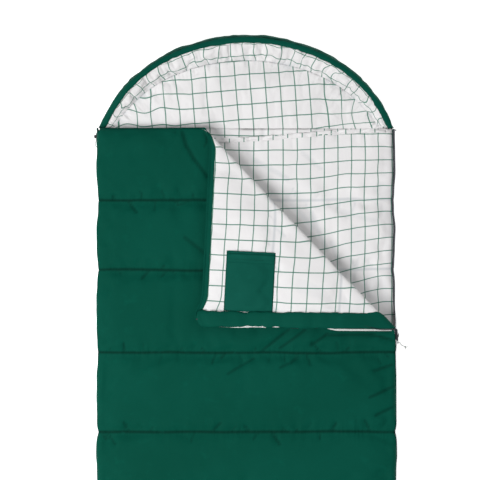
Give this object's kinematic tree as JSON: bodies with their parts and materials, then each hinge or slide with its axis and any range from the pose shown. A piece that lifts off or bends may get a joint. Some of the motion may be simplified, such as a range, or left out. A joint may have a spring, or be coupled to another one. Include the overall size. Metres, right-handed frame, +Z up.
{
  "type": "hooded rectangular sleeping bag",
  "caption": "Padded rectangular sleeping bag lying open at one top corner, with a gathered hood, a side zip and an inside pocket.",
  "frame": {"origin": "middle of the bag's outline, on the surface that it lies on", "axes": "+X across the bag towards the zip side, +Y from the foot to the hood, +Z up"},
  "size_m": [0.8431, 2.1544, 0.1025],
  "materials": {
    "shell_green": "matte woven polyester with a faint sheen",
    "batting": "loose white fibre fill",
    "check_lining": "soft brushed woven fabric with a thin windowpane check",
    "zip_tape": "matte woven tape",
    "zip_coil": "satin nylon",
    "white_strip": "stiff woven strip",
    "slider_metal": "semi-gloss paint",
    "pull_cord": "fine braided cord",
    "elastic": "braided elastic cord",
    "webbing": "ribbed webbing",
    "lock_plastic": "satin moulded plastic",
    "spring_steel": "bright wire"
  },
  "bodies": {
    "bottom": {"bottom_shell": "shell_green", "bottom_batting": "batting", "bottom_lining": "check_lining", "neck_band": "check_lining", "zip_tape_bottom": "zip_tape", "zip_coil_bottom": "zip_coil", "zip_stop_bottom": "zip_coil", "cord_exit_tab": "webbing", "drawcord_loop": "elastic"},
    "cover": {"cover_shell": "shell_green", "cover_batting": "batting", "cover_lining": "check_lining", "cover_hem": "shell_green", "draft_tube_side": "shell_green", "zip_tape_cover": "zip_tape", "zip_coil_cover": "zip_coil"},
    "flap": {"flap_shell": "shell_green", "flap_batting": "batting", "flap_lining": "check_lining", "flap_hem": "shell_green", "draft_tube_flap": "shell_green", "zip_tape_flap": "zip_tape", "zip_coil_flap": "zip_coil", "zip_stop_flap": "zip_coil", "snag_strip": "white_strip", "inner_pocket": "shell_green", "pocket_band": "shell_green"},
    "hood": {"hood_base_shell": "shell_green", "hood_base_batting": "batting", "hood_base_lining": "check_lining", "hood_wall_shell": "shell_green", "hood_wall_batting": "batting", "hood_wall_lining": "check_lining", "hood_rim": "shell_green", "hood_drawcord": "elastic"},
    "slider": {"zip_slider": "slider_metal"},
    "pull": {"pull_tab": "slider_metal", "pull_cord": "pull_cord", "pull_knot": "pull_cord"},
    "cord_lock": {"cord_lock": "lock_plastic", "lock_spring": "spring_steel"},
    "lock_button": {"lock_button": "lock_plastic"}
  },
  "joints": [
    {"name": "cover_open", "type": "hinge", "parent": "bottom", "child": "cover", "pos_m": [-0.406, 0, 0.033], "axis": [0, -1, 0], "range_deg": [0, 174]},
    {"name": "flap_fold", "type": "hinge", "parent": "cover", "child": "flap", "pos_m": [-0.108, 0.8215, 0.06625], "axis": [-0.6876, 0.7261, 0], "range_deg": [0, 180]},
    {"name": "hood_lift", "type": "hinge", "parent": "bottom", "child": "hood", "pos_m": [0, 0.8245, 0.026], "axis": [1, 0, 0], "range_deg": [0, 60]},
    {"name": "zip_slide", "type": "slide", "parent": "bottom", "child": "slider", "axis": [0, 1, 0], "range_m": [-1.3, 0.525]},
    {"name": "pull_tab_swing", "type": "hinge", "parent": "slider", "child": "pull", "pos_m": [0.40715, 0.2678, 0.033], "axis": [0, 0, 1], "range_deg": [0, 120]},
    {"name": "cord_lock_slide", "type": "slide", "parent": "bottom", "child": "cord_lock", "axis": [0, 1, 0], "range_m": [-0.006, 0]},
    {"name": "lock_button_press", "type": "slide", "parent": "cord_lock", "child": "lock_button", "axis": [0, 0, -1], "range_m": [0, 0.003], "stiffness_N_per_m": 250, "deforming": ["lock_spring"]}
  ]
}
